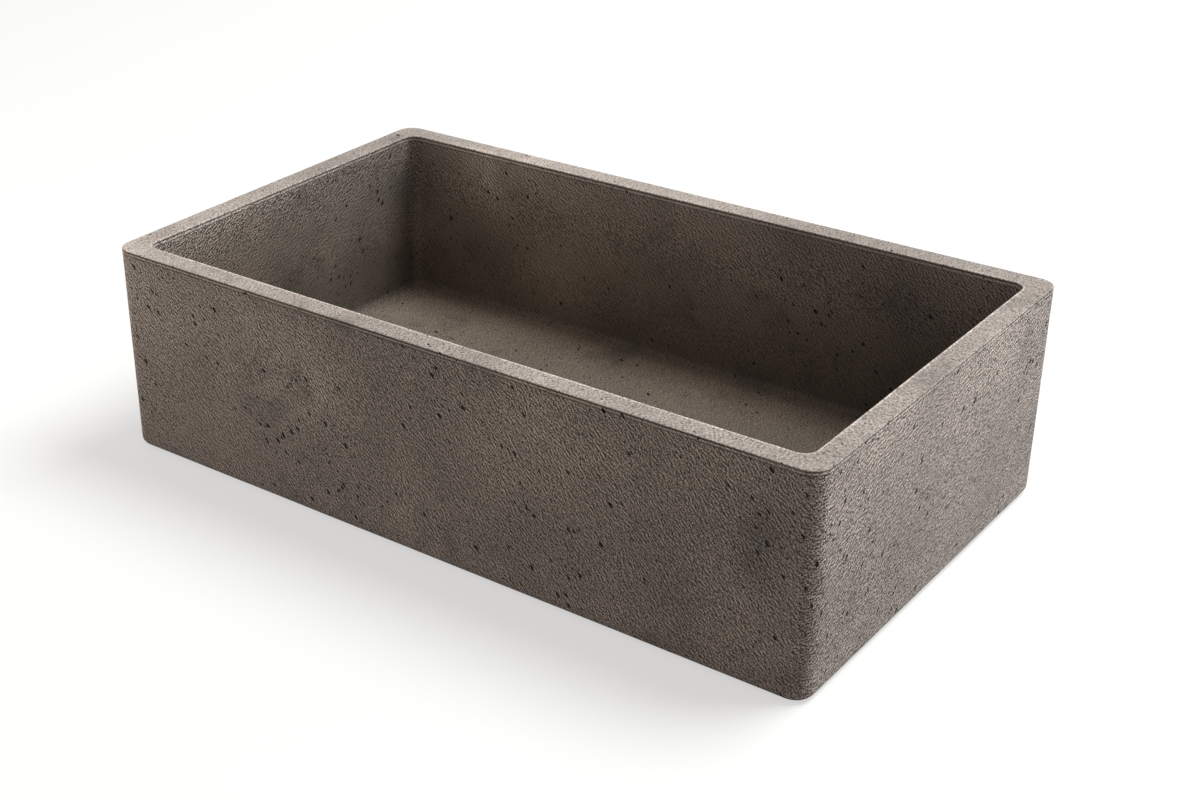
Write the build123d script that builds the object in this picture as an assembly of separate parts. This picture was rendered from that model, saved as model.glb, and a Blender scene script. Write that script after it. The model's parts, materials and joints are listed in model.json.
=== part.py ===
"""Farmhouse sink: a cast concrete basin with its basket strainer and tailpiece.

Millimetres. X runs along the apron, left to right, Y runs from the apron (-Y) to the back (+Y), and Z is up.
The origin is the middle of the underside, which stands on the cabinet's shelf.
"""

from build123d import *
import math
import os

# basin casting
BASIN_LENGTH = 914.4
BASIN_DEPTH = 533.4
BASIN_HEIGHT = 254.0
WALL = 27.0
FLOOR = 42.0
OUTER_CORNER = 22.0
FOOT_ROUND = 10.0
OUTER_ARRIS = 1.6
BOWL_CORNER = 15.0
BOWL_ARRIS = 2.0
BOWL_DRAFT = 3.0
COVE = 9.0
FLOOR_FALL = 4.0

# opening for the strainer
DRAIN_HOLE = 88.9
REBATE_DEPTH = 4.0
RECESS_DEPTH = 12.0
RECESS_MARGIN = 14.0

# pressed strainer cup and its flange
SHEET = 1.2
FLANGE = 114.3
MOUTH_BEVEL = 3.0
CUP_OUTSIDE = 85.6
CUP_DEPTH = 63.0

# seals and nut that clamp the cup to the floor
FLANGE_SEAL = 2.2
SEAL_WIDTH = 8.0
SEAL_INSET = 2.0
GASKET = 3.2
GASKET_WIDTH = 13.5
FRICTION_RING = 0.8
LOCKNUT = 7.5
LOCKNUT_WALL = 8.0
LOCKNUT_LUG = 5.0
LOCKNUT_LUG_WIDTH = 11.0
LOCKNUT_LUGS = 6

# outlet below the cup
SPUD_THREAD = 47.6
SPUD_BORE = 37.0
SPUD_LENGTH = 27.0
OUTLET_HOLE = 39.0
BRIDGE_THICKNESS = 2.5
BRIDGE_BAR = 16.0
JOINT_WASHER = 2.0
TAILPIECE = 38.1
TAILPIECE_WALL = 1.2
TAILPIECE_LENGTH = 101.6
TAILPIECE_FLANGE = 45.0
TAILPIECE_FLANGE_THICKNESS = 1.6
NUT_FLATS = 56.0
NUT_LIP = 3.0
NUT_GRIP = 12.0

# basket
BASKET_SHEET = 0.8
BASKET = 74.0
BASKET_RIM_DROP = 6.4
BASKET_SLOTS = 18
SLOT_WIDTH = 2.6
SLOT_HEIGHT = 28.0
SLOT_RISE = 6.0

# stopper and the bush that holds it
STOPPER = 56.0
STOPPER_TOP = 50.0
STOPPER_THICKNESS = 4.0
STOPPER_WASHER = 28.0
STOPPER_WASHER_THICKNESS = 1.3
BUSH = 14.0
BUSH_FLANGE = 21.0
BUSH_FLANGE_THICKNESS = 1.8
BUSH_NUT = 4.0
BUSH_NUT_FLATS = 19.0
BUSH_END = 0.6

# twist lock
POST = 8.0
POST_SHOULDER = 14.0
POST_SHOULDER_THICKNESS = 2.0
LOCK_BAR = 4.0
LOCK_BAR_LENGTH = 20.0
POST_FOOT = 2.4
SEAL_GROOVE = 1.1
SEAL_GROOVE_WIDTH = 1.7
KNOB = 25.0
KNOB_HEIGHT = 11.0
KNOB_NECK = 4.0
KNOB_DROP = 5.0
KNOB_FLUTES = 6
FLUTE = 5.0

# clearances
REBATE_GAP = 1.0
THREAD_GAP = 0.15
SLIP_GAP = 0.3
NUT_LIP_GAP = 0.7
SEAT_GAP = 0.3
BASKET_GAP = 0.7
LOCK_GAP = 0.4
BUSH_TO_BRIDGE = 1.0
RUNNING_GAP = 0.05
SEAL_SQUEEZE_GAP = 0.03
LIFT_CLEAR = 20.0

# levels, from the basin down through the drain
floor_low = FLOOR - FLOOR_FALL
rebate_z = floor_low - REBATE_DEPTH
flange_top = rebate_z + FLANGE_SEAL + SHEET
seat_z = flange_top - CUP_DEPTH
cup_under = seat_z - SHEET
friction_top = RECESS_DEPTH - GASKET
locknut_top = friction_top - FRICTION_RING
stopper_under = seat_z + SEAT_GAP
basket_under = stopper_under + STOPPER_THICKNESS
basket_floor_z = basket_under + BASKET_SHEET
bush_top = basket_floor_z + BUSH_FLANGE_THICKNESS
washer_under = stopper_under - STOPPER_WASHER_THICKNESS
bush_nut_under = washer_under - BUSH_NUT
bush_end = bush_nut_under - BUSH_END
bridge_top = bush_end - BUSH_TO_BRIDGE
bridge_under = bridge_top - BRIDGE_THICKNESS
lock_bar_z = bridge_under - LOCK_GAP - LOCK_BAR / 2
post_end = lock_bar_z - LOCK_BAR / 2 - POST_FOOT
spud_end = cup_under - SPUD_LENGTH
joint_z = spud_end - JOINT_WASHER
nut_seat = joint_z - TAILPIECE_FLANGE_THICKNESS
nut_end = nut_seat - NUT_LIP
tailpiece_end = joint_z - TAILPIECE_LENGTH
basket_rim_z = flange_top - BASKET_RIM_DROP
knob_top = flange_top - KNOB_DROP
knob_under = knob_top - KNOB_HEIGHT

# radii shared by pieces that fit together
flange_r = FLANGE / 2
rebate_r = flange_r + REBATE_GAP
drain_r = DRAIN_HOLE / 2
cup_r = CUP_OUTSIDE / 2
cup_inside_r = cup_r - SHEET
flange_seal_r = flange_r - SEAL_INSET
locknut_r = cup_r + THREAD_GAP + LOCKNUT_WALL
gasket_r = cup_r + SLIP_GAP + GASKET_WIDTH
recess_r = max(locknut_r + LOCKNUT_LUG, gasket_r) + RECESS_MARGIN
spud_r = SPUD_THREAD / 2
bridge_r = (SPUD_THREAD + SPUD_BORE) / 4
bush_bore_r = POST / 2 + RUNNING_GAP
basket_rim_r = cup_inside_r - BASKET_GAP
basket_wall_r = BASKET / 2 - BASKET_SHEET
tailpiece_r = TAILPIECE / 2


def disc(radius, low, high):
    """A solid cylinder on the drain's axis between two levels."""
    return Pos(0, 0, (low + high) / 2) * Cylinder(radius, high - low)


def ring(outer, inner, low, high):
    """A flat ring on the drain's axis between two levels."""
    return disc(outer, low, high) - disc(inner, low, high)


def hexagon(flats, low, high):
    """A hexagonal bar on the drain's axis between two levels."""
    return Pos(0, 0, low) * extrude(RegularPolygon(flats / 2, 6, major_radius=False), amount=high - low)


def pressed(points, thickness):
    """Sheet metal spun about the drain's axis: points of radius and level along one face."""
    outline = Wire(Polyline(*points).edges()).offset_2d(thickness, Kind.INTERSECTION, Side.LEFT)
    return revolve(Plane.XZ * make_face(outline), Axis.Z)


def around(shape, count):
    """Copies of a shape, evenly spaced about the drain's axis."""
    return [Rot(0, 0, 360 / count * i) * shape for i in range(count)]


def rounded_outline(inset, corner, level):
    """The basin's plan outline, drawn in by an inset, at a level."""
    outline = RectangleRounded(BASIN_LENGTH - 2 * inset, BASIN_DEPTH - 2 * inset, corner)
    return Pos(0, 0, level) * outline


def bowl_space():
    """The hollow of the bowl: drafted walls, a cove round the floor and falls to the drain."""
    bowl_depth = BASIN_HEIGHT - FLOOR
    draft = math.degrees(math.atan(BOWL_DRAFT / bowl_depth))
    mouth = rounded_outline(WALL, BOWL_CORNER, BASIN_HEIGHT)
    space = extrude(mouth, amount=bowl_depth, dir=(0, 0, -1), taper=draft)
    space = fillet(space.faces().sort_by(Axis.Z)[0].edges(), COVE)
    return space + floor_falls()


def floor_falls():
    """The four shallow planes of the floor that fall to the drain, as the space above them."""
    inset = WALL + BOWL_DRAFT + COVE
    long_side = BASIN_LENGTH - 2 * inset
    short_side = BASIN_DEPTH - 2 * inset
    low_side = DRAIN_HOLE
    falls = Wedge(
        long_side,
        FLOOR_FALL,
        short_side,
        (long_side - low_side) / 2,
        (short_side - low_side) / 2,
        (long_side + low_side) / 2,
        (short_side + low_side) / 2,
    )
    return Pos(0, 0, FLOOR - FLOOR_FALL / 2) * Rot(-90, 0, 0) * falls


def basin():
    """The casting, with its drain hole, the rebate for the flange and the recess for the nut."""
    body = extrude(rounded_outline(0, OUTER_CORNER, 0), amount=BASIN_HEIGHT)
    body = fillet(body.faces().sort_by(Axis.Z)[0].edges(), FOOT_ROUND)
    body = chamfer(body.faces().sort_by(Axis.Z)[-1].edges(), OUTER_ARRIS)
    body -= bowl_space()
    inner_rim = body.faces().sort_by(Axis.Z)[-1].inner_wires()[0].edges()
    body = chamfer(inner_rim, BOWL_ARRIS)
    body -= disc(rebate_r, rebate_z, FLOOR)
    body -= disc(drain_r, 0, FLOOR)
    body -= disc(recess_r, 0, RECESS_DEPTH)
    return body


def strainer_body():
    """The pressed cup: flat flange, bevelled mouth, straight wall and a floor that the stopper seats on."""
    points = [
        (flange_r, flange_top),
        (cup_inside_r + MOUTH_BEVEL, flange_top),
        (cup_inside_r, flange_top - MOUTH_BEVEL),
        (cup_inside_r, seat_z),
        (OUTLET_HOLE / 2, seat_z),
    ]
    return pressed(points, SHEET)


def outlet_spud():
    """The threaded outlet under the cup: a wide bore, a ledge for the bridge and a plain bore below it."""
    blank = disc(spud_r, spud_end, cup_under)
    blank -= disc(bridge_r + THREAD_GAP, bridge_under, cup_under)
    return blank - disc(SPUD_BORE / 2, spud_end, cup_under)


def lock_bridge():
    """A bar across the outlet, with a slot that lets the cross pin through one way only."""
    bar = Pos(0, 0, (bridge_under + bridge_top) / 2) * Box(BRIDGE_BAR, 2 * bridge_r, BRIDGE_THICKNESS)
    bar &= disc(bridge_r, bridge_under, bridge_top)
    slot_width = LOCK_BAR + 2 * LOCK_GAP
    slot = SlotOverall(LOCK_BAR_LENGTH + slot_width, slot_width, rotation=90)
    bar -= Pos(0, 0, bridge_under) * extrude(slot, amount=BRIDGE_THICKNESS)
    return bar - disc(POST / 2 + LOCK_GAP, bridge_under, bridge_top)


def locknut():
    """A ring nut with lugs for the spanner."""
    lug = Pos(locknut_r, 0, locknut_top - LOCKNUT / 2) * Box(2 * LOCKNUT_LUG, LOCKNUT_LUG_WIDTH, LOCKNUT)
    nut = disc(locknut_r, locknut_top - LOCKNUT, locknut_top)
    nut = nut + around(lug, LOCKNUT_LUGS)
    return nut - disc(cup_r + THREAD_GAP, locknut_top - LOCKNUT, locknut_top)


def tailpiece():
    """A plain tube with a flange that the nut pulls up against the washer."""
    tube = disc(TAILPIECE_FLANGE / 2, nut_seat, joint_z) + disc(tailpiece_r, tailpiece_end, joint_z)
    return tube - disc(tailpiece_r - TAILPIECE_WALL, tailpiece_end, joint_z)


def coupling_nut():
    """A hexagonal slip nut: threaded over the spud, with a lip under the tailpiece's flange."""
    nut = hexagon(NUT_FLATS, nut_end, spud_end + NUT_GRIP)
    nut -= disc(spud_r + THREAD_GAP, nut_seat, spud_end + NUT_GRIP)
    return nut - disc(tailpiece_r + NUT_LIP_GAP, nut_end, nut_seat)


def basket():
    """The straining cup: a turned-out lip, a straight wall with tall slots and a flat floor."""
    points = [
        (basket_rim_r, basket_rim_z),
        (basket_wall_r, basket_rim_z),
        (basket_wall_r, basket_floor_z),
        (BUSH / 2 + THREAD_GAP, basket_floor_z),
    ]
    punch = Box(basket_wall_r, SLOT_WIDTH, SLOT_HEIGHT)
    slot = Pos(basket_wall_r, 0, basket_floor_z + SLOT_RISE + SLOT_HEIGHT / 2) * punch
    return pressed(points, BASKET_SHEET) - around(slot, BASKET_SLOTS)


def stopper():
    """A rubber disc, with its edge drawn in towards the basket."""
    hub_r = BUSH / 2 + THREAD_GAP
    profile = Polyline(
        (hub_r, stopper_under),
        (STOPPER / 2, stopper_under),
        (STOPPER_TOP / 2, basket_under),
        (hub_r, basket_under),
        close=True,
    )
    return revolve(Plane.XZ * make_face(profile), Axis.Z)


def post_bush():
    """The sleeve through basket and stopper, with a flange inside the basket."""
    sleeve = disc(BUSH_FLANGE / 2, basket_floor_z, bush_top) + disc(BUSH / 2, bush_end, bush_top)
    return sleeve - disc(bush_bore_r, bush_end, bush_top)


def bush_nut():
    """The hexagonal nut under the stopper's washer."""
    nut = hexagon(BUSH_NUT_FLATS, bush_nut_under, washer_under)
    return nut - disc(BUSH / 2 + THREAD_GAP, bush_nut_under, washer_under)


def lock_post():
    """The turned post: a shoulder on the bush, a groove for its seal and a cross hole at its foot."""
    post = disc(POST / 2, post_end, knob_under)
    post += disc(POST_SHOULDER / 2, bush_top, bush_top + POST_SHOULDER_THICKNESS)
    groove_mid = (bush_end + bush_top) / 2
    groove = (groove_mid - SEAL_GROOVE_WIDTH / 2, groove_mid + SEAL_GROOVE_WIDTH / 2)
    post -= ring(POST, POST / 2 - SEAL_GROOVE, *groove)
    return post - cross_pin(LOCK_BAR / 2, POST)


def cross_pin(radius, length):
    """A round bar across the foot of the post, in line with the bridge's slot."""
    return Pos(0, 0, lock_bar_z) * Rot(90, 0, 0) * Cylinder(radius, length)


def post_seal():
    """The square-section sealing ring in the post's groove."""
    middle = (bush_end + bush_top) / 2
    half_width = SEAL_GROOVE_WIDTH / 2 - SEAL_SQUEEZE_GAP
    inner_r = POST / 2 - SEAL_GROOVE + SEAL_SQUEEZE_GAP
    return ring(bush_bore_r - SEAL_SQUEEZE_GAP, inner_r, middle - half_width, middle + half_width)


def lock_knob():
    """A turned knob: a neck under a wide head with flutes for the fingers."""
    head_r = KNOB / 2
    knob = disc(POST_SHOULDER / 2, knob_under, knob_top) + disc(head_r, knob_under + KNOB_NECK, knob_top)
    flute = Pos(head_r + FLUTE / 4, 0, knob_top) * Cylinder(FLUTE / 2, 2 * KNOB_HEIGHT)
    return knob - around(flute, KNOB_FLUTES)


def nodes():
    """Every piece by its name."""
    return {
        "basin": basin(),
        "strainer_body": strainer_body(),
        "outlet_spud": outlet_spud(),
        "lock_bridge": lock_bridge(),
        "flange_seal": ring(flange_seal_r, flange_seal_r - SEAL_WIDTH, rebate_z, rebate_z + FLANGE_SEAL),
        "rubber_gasket": ring(gasket_r, cup_r + SLIP_GAP, friction_top, RECESS_DEPTH),
        "friction_ring": ring(locknut_r, cup_r + SLIP_GAP, locknut_top, friction_top),
        "locknut": locknut(),
        "tailpiece_washer": ring(spud_r, tailpiece_r - TAILPIECE_WALL, joint_z, spud_end),
        "coupling_nut": coupling_nut(),
        "tailpiece": tailpiece(),
        "basket": basket(),
        "stopper": stopper(),
        "stopper_washer": ring(STOPPER_WASHER / 2, BUSH / 2 + THREAD_GAP, washer_under, stopper_under),
        "post_bush": post_bush(),
        "bush_nut": bush_nut(),
        "lock_post": lock_post(),
        "lock_knob": lock_knob(),
        "lock_bar": cross_pin(LOCK_BAR / 2, LOCK_BAR_LENGTH),
        "post_seal": post_seal(),
    }


os.makedirs("parts", exist_ok=True)
for name, shape in nodes().items():
    solids = shape.solids()
    export_step(solids[0] if len(solids) == 1 else Compound(solids), f"parts/{name}.step")
print("basket and lock lift clear of the rim over", round(BASIN_HEIGHT - post_end + LIFT_CLEAR, 1), "mm")
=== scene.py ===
"""Farmhouse sink: the finish of the cast concrete basin and of the basket strainer in its floor.

Metres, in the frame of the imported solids: X along the apron, Y from the apron to the back, Z up.
"""

import json
import math

import bmesh
import bpy
import numpy as np
from mathutils import Matrix, Vector, noise


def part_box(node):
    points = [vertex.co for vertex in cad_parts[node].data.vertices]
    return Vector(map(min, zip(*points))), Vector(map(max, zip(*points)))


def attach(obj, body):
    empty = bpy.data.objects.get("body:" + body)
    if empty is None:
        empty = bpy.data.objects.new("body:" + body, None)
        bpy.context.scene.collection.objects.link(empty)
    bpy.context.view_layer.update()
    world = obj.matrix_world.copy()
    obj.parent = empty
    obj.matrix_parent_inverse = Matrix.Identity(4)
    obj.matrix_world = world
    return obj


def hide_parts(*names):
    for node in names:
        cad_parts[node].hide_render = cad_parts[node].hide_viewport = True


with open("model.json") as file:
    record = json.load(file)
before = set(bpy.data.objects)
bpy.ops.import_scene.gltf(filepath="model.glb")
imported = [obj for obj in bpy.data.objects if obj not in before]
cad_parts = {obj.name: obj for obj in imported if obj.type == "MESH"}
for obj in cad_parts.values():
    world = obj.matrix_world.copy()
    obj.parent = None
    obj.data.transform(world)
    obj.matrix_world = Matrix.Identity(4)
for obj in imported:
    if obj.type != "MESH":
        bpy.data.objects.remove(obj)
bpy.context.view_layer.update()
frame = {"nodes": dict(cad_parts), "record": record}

# basin casting
HALF_LENGTH, HALF_DEPTH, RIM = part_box("basin")[1]
WALL = 0.027
OUTER_CORNER = 0.022
FOOT_ROUND = 0.010
OUTER_ARRIS = 0.0012
BOWL_CORNER = 0.015
BOWL_ARRIS = 0.0014
BOWL_DRAFT = 0.003
COVE = 0.009
FLOOR_HIGH = 0.042
FLOOR_FALL = 0.004
FALL_BLEND = 0.03

# opening for the strainer
DRAIN_HOLE = 0.04445
REBATE = 0.05815
REBATE_FLOOR = 0.034
RECESS = 0.0706
RECESS_DEPTH = 0.012
DRAIN_EDGE = 0.0012

# mould lines under the rim, outside and in the bowl: how far down each lies and how deep it is, half the
# width of a line and of its flat bottom, how often the lines break, and how much further the upper
# line's shade reaches above it; the grooves are also painted dark as shade
APRON_LINES = ((0.0021, 0.0008), (0.0056, 0.0006))
BOWL_LINES = ((0.0029, 0.0010), (0.0072, 0.0007))
LINE_HALF = 0.0008
LINE_FLAT = 0.0005
LINE_BREAKS = 0.06
SHADE_ABOVE = 1.7

# the painted highlight along the rim's inner edge and how far down it reaches, how much of it the left and
# back sides have, where the near side begins, and how strong the painted highlight on the strip between two
# mould lines is
EDGE_BAND = 0.0022
BAND_DROP = 0.0026
FAR_EDGE_HIGHLIGHT = 0.25
NEAR_FROM = 0.125
STRIP_HIGHLIGHT = 1.0

# hand-cast unevenness: size of the waves and how far they draw the surface in
WAVES = ((0.11, 0.00035), (0.028, 0.00012))

# how light each zone of the casting is beside its outside, as painted light and shade: the rim painted
# lighter, partly wear and partly painted light from above; the bowl's walls painted darker towards the
# bottom and on its ends as painted shade; its floor painted dark at the front and lighter at the back,
# against the back wall's shadow; the bowl painted darker towards the right; and the ends painted darker
# at the foot and lighter at the top
RIM_TONE = 1.3
BOWL_LOW_TONE = 0.47
BOWL_HIGH_TONE = 0.95
BOWL_END_TONE = 0.52
FLOOR_TONE = 0.42
FLOOR_BACK_TONE = 1.15
BOWL_LEFT_TONE = 1.1
BOWL_RIGHT_TONE = 0.55
END_FOOT_TONE = 0.84
END_TOP_TONE = 1.12

# where one tone gives way to the next, and over how far
FLOOR_DARK_TO = 0.05
FLOOR_PALE_FROM = 0.27
BOWL_LEFT_TO = -0.25
BOWL_RIGHT_FROM = 0.35
END_FOOT_TO = 0.10
END_TOP_FROM = 0.24
APRON_REACH = 0.003
HOLLOW_ABOVE = 0.03
HOLLOW_BLEND = 0.002
COVE_MIDDLE = BOWL_DRAFT + 0.5 * COVE
ZONE_BLEND = 0.012
RIM_FADE = 0.001

# the casting's tint outside and in the bowl, beside the record's colour; the bowl's warmer, darker tint is
# painted shade
DRY_TINT = (1.0, 0.955, 0.965)
BOWL_SHADE_TINT = (1.0, 0.87, 0.765)

# how strong the brushed grain is in each zone, the ends having that much more, and its darkest tone
BOWL_GRAIN = 0.42
RIM_GRAIN = 0.36
END_GRAIN = 0.6
LINE_GRAIN = 0.4
DARKEST_GRAIN = 0.15

# how much darker the pores, pits and mould lines are painted, as painted shade in these holes and grooves,
# and how much lighter the edges' painted highlight makes the casting
PORE_SHADE_GAIN = -0.85
MARK_SHADE_AND_LIGHT_GAINS = (("pit", -0.98), ("line", -0.92), ("edge_highlight", 0.7))

# soft patches over the whole casting: size, strength and place in the noise
PATCHES = (
    (0.36, 0.2, Vector((0, 0, 0))),
    (0.13, 0.12, Vector((5, 2, 7))),
    (0.055, 0.07, Vector((1, 8, 3))),
)

# spots on the casting, partly real smudges and partly painted light and shade: place, size and how much
# lighter or darker
SMUDGES_AND_SHADING = (
    (-0.19, 0.24, 0.10, 0.05, 0.5), (-0.30, 0.24, 0.21, 0.05, 0.4), (-0.31, 0.24, 0.12, 0.045, -0.25),
    (-0.39, 0.24, 0.08, 0.035, -0.3), (0.30, 0.24, 0.19, 0.07, -0.34), (0.15, 0.24, 0.22, 0.05, -0.25),
    (0.01, 0.24, 0.18, 0.035, -0.18), (-0.43, 0.21, 0.19, 0.05, -0.45), (-0.43, 0.13, 0.13, 0.035, -0.25),
    (-0.43, 0.05, 0.13, 0.04, 0.2), (0.00, -0.267, 0.03, 0.06, 0.3), (0.14, -0.267, 0.20, 0.07, 0.24),
    (-0.16, -0.267, 0.16, 0.05, 0.2), (0.30, -0.267, 0.11, 0.07, -0.16), (-0.33, -0.267, 0.12, 0.05, -0.14),
    (-0.07, -0.267, 0.20, 0.04, -0.15), (0.457, -0.09, 0.09, 0.1, -0.12), (0.457, 0.25, 0.22, 0.06, -0.2),
    (-0.44, -0.21, 0.254, 0.05, -0.2), (-0.457, -0.267, 0.21, 0.05, 0.3), (-0.44, 0.10, 0.254, 0.12, -0.1),
    (-0.28, 0.253, 0.254, 0.06, 0.25), (0.21, 0.253, 0.254, 0.05, -0.22), (0.404, -0.267, 0.18, 0.022, -0.3),
    (0.395, -0.267, 0.138, 0.026, -0.35), (-0.004, -0.267, 0.198, 0.012, -0.25),
    (0.278, -0.267, 0.212, 0.014, -0.2), (-0.335, 0.24, 0.111, 0.016, -0.2),
    (-0.43, -0.091, 0.218, 0.014, -0.2),
)

# mesh steps
LONG_STEPS = 80
SHORT_STEPS = 46
CORNER_STEPS = 8

# the way that the long sides and the ends were brushed, and the fine streaks that it left
LONG_SIDE_BRUSHED = Vector((0.70, -0.24, -0.68)).normalized()
LONG_SIDE_FACING = Vector((0, 1, 0))
END_BRUSHED = Vector((0.24, -0.86, -0.46)).normalized()
END_FACING = Vector((1, 0, 0))
BRUSH_BLEND = 0.02
GRAIN_WIDTH = 0.0023
GRAIN_RUN = 0.0060
GRAIN_GAP = 0.0015

# air pits, drawn out along the pull of the mould: how many, how large, how rare the large ones are,
# how wide beside their length, and how lumpy
PULLED_ALONG = Vector((0.60, -0.40, -0.69)).normalized()
PIT_INPUTS = {
    "Pits per area": 4900.0,
    "Spacing": 0.0045,
    "Smallest": 0.0019,
    "Largest": 0.0080,
    "Round from": 0.0046,
    "Seed": 7,
}
PIT_RARITY = 2.8
PIT_SLIM = (0.3, 0.56)
PIT_LUMPS = 700.0
PIT_RAGGED = 0.0016
PIT_SEED_STEP = 11

# how likely a pit is: patches by size and strength, then the share in each zone
PIT_PATCHES = ((0.16, 1.0), (0.05, 0.5))
PIT_MIDDLE_CHANCE = 0.42
PIT_LEAST_CHANCE = 0.05
BOWL_CHANCE = 0.35
RIM_CHANCE = 0.12
END_CHANCE = 1.3
END_CHANCE_MORE = 0.1
UNDERSIDE_CHANCE = 0.04
PIT_FREE_RADIUS = 0.076


def steps(count):
    """Shares from just past 0 to 1, in equal steps."""
    return np.arange(1, count + 1) / count


def connect(socket, value):
    """Feeds an input from another node's socket, or gives it a value."""
    if isinstance(value, bpy.types.NodeSocket):
        socket.id_data.links.new(value, socket)
    else:
        socket.default_value = value


def set_inputs(node, inputs):
    """Sets a node's inputs by name, each from a value or from another node's socket."""
    for name, value in inputs.items():
        connect(node.inputs[name.replace("_", " ")], value)


def add(tree, kind, settings=None, **inputs):
    """Adds a node to a tree, with its settings and inputs."""
    made = tree.nodes.new(kind)
    for name, value in (settings or {}).items():
        setattr(made, name, value)
    set_inputs(made, inputs)
    return made


def maths(tree, operation, *values, kind="ShaderNodeMath", **settings):
    """The result of a Math node, or of its kin for vectors, on values or sockets."""
    made = add(tree, kind, {"operation": operation, **settings})
    for socket, value in zip(made.inputs, values):
        connect(socket, value)
    return made.outputs[0]


def times(tree, first, *others):
    """The product of values or sockets."""
    for other in others:
        first = maths(tree, "MULTIPLY", first, other)
    return first


def between(tree, value, low, high, to_low=0.0, to_high=1.0):
    """A value carried smoothly from one range to another and held there past its ends."""
    made = add(tree, "ShaderNodeMapRange", {"interpolation_type": "SMOOTHSTEP"}, Value=value)
    set_inputs(made, {"From Min": low, "From Max": high, "To Min": to_low, "To Max": to_high})
    return made.outputs[0]


def clouds(tree, place, scale, detail, roughness=0.5):
    """A soft noise about a half."""
    made = add(tree, "ShaderNodeTexNoise", Vector=place, Scale=scale, Detail=detail, Roughness=roughness)
    return made.outputs[0]


def object_place(tree):
    """The shaded point's object coordinates."""
    return add(tree, "ShaderNodeTexCoord").outputs["Object"]


def mixed(tree, share, first, second):
    """Two colours mixed by a share."""
    made = add(tree, "ShaderNodeMix", {"data_type": "RGBA"})
    sockets = [s for s in made.inputs if s.enabled]
    for socket, value in zip(sockets, (share, (*first, 1.0), (*second, 1.0))):
        connect(socket, value)
    return next(s for s in made.outputs if s.enabled)


def toned(tree, colour, tone):
    """A colour made lighter or darker by a tone that is 1 where it stays."""
    return add(tree, "ShaderNodeVectorMath", {"operation": "SCALE"}, Vector=colour, Scale=tone).outputs[0]


def group(name, kind, inputs, *outputs):
    """An empty node group and its input and output nodes. An input has a default or its kind's name."""
    tree = bpy.data.node_groups.new(name, kind)
    for label, value in inputs.items():
        value_kind = {float: "Float", int: "Int", tuple: "Vector"}.get(type(value), value)
        made = tree.interface.new_socket(name=label, in_out="INPUT", socket_type="NodeSocket" + value_kind)
        if value_kind != value:
            made.default_value = value
    result_kind = "Geometry" if kind == "GeometryNodeTree" else "Float"
    for label in outputs:
        tree.interface.new_socket(name=label, in_out="OUTPUT", socket_type="NodeSocket" + result_kind)
    return tree, tree.nodes.new("NodeGroupInput").outputs, tree.nodes.new("NodeGroupOutput").inputs


def placed(tree, shared, **inputs):
    """A shared group placed in a material's tree with its own values."""
    return add(tree, "ShaderNodeGroup", {"node_tree": shared}, **inputs).outputs


# shared effects


def mottling_group():
    """Soft light and dark patches, in large and middling sizes."""
    inputs = {"Patch": 0.15, "Strength": 0.1, "Offset": (0.0, 0.0, 0.0)}
    tree, given, result = group("mottling", "ShaderNodeTree", inputs, "Tone")
    moved = maths(tree, "ADD", object_place(tree), given["Offset"], kind="ShaderNodeVectorMath")
    cloud = clouds(tree, moved, maths(tree, "DIVIDE", 1.0, given["Patch"]), 5.0, 0.62)
    spread = between(tree, cloud, 0.3, 0.7, -1.0, 1.0)
    connect(result["Tone"], maths(tree, "MULTIPLY_ADD", spread, given["Strength"], 1.0))
    return tree


def turning_group():
    """Fine rings left by turning or spinning about the drain's axis."""
    inputs = {"Pitch": 0.0003, "Strength": 0.1}
    tree, given, result = group("turning marks", "ShaderNodeTree", inputs, "Tone", "Height")
    here = object_place(tree)
    parts = add(tree, "ShaderNodeSeparateXYZ", Vector=here).outputs
    across = times(tree, parts["X"], parts["X"])
    radius = maths(tree, "SQRT", maths(tree, "MULTIPLY_ADD", parts["Y"], parts["Y"], across))
    flat = add(tree, "ShaderNodeCombineXYZ", X=radius, Y=parts["Z"]).outputs[0]
    rings = clouds(tree, flat, maths(tree, "DIVIDE", 1.0, given["Pitch"]), 3.0, 0.7)
    slow = clouds(tree, here, 60.0, 2.0)
    marks = times(tree, maths(tree, "SUBTRACT", rings, 0.5), maths(tree, "ADD", slow, 0.5))
    connect(result["Tone"], maths(tree, "MULTIPLY_ADD", marks, given["Strength"], 1.0))
    connect(result["Height"], marks)
    return tree


def specks_group():
    """Small scattered specks, some cells left empty."""
    inputs = {"Vector": "Vector", "Cell": 0.006, "Largest": 0.16, "Empty": 0.5}
    tree, given, result = group("specks", "ShaderNodeTree", inputs, "Mask")
    scale = maths(tree, "DIVIDE", 1.0, given["Cell"])
    cells = add(tree, "ShaderNodeTexVoronoi", Vector=given["Vector"], Scale=scale)
    chance = add(tree, "ShaderNodeSeparateColor", Color=cells.outputs["Color"]).outputs
    near = maths(tree, "SUBTRACT", times(tree, chance["Red"], given["Largest"]), cells.outputs["Distance"])
    kept = maths(tree, "GREATER_THAN", chance["Green"], given["Empty"])
    connect(result["Mask"], times(tree, between(tree, near, -0.01, 0.04), kept))
    return tree


MOTTLING = mottling_group()
TURNING = turning_group()
SPECKS = specks_group()


# materials


def finish_of(slot):
    """The base colour that the record gives to a material slot."""
    found = next(m for m in frame["record"]["materials"] if m["slot"] == slot)
    return tuple(found["base_color"])


def new_material(name):
    """An empty material, its tree and its Principled shader."""
    material = bpy.data.materials.new(name)
    material.use_nodes = True
    tree = material.node_tree
    tree.nodes.clear()
    shader = tree.nodes.new("ShaderNodeBsdfPrincipled")
    add(tree, "ShaderNodeOutputMaterial", Surface=shader.outputs[0])
    return material, tree, shader


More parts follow.
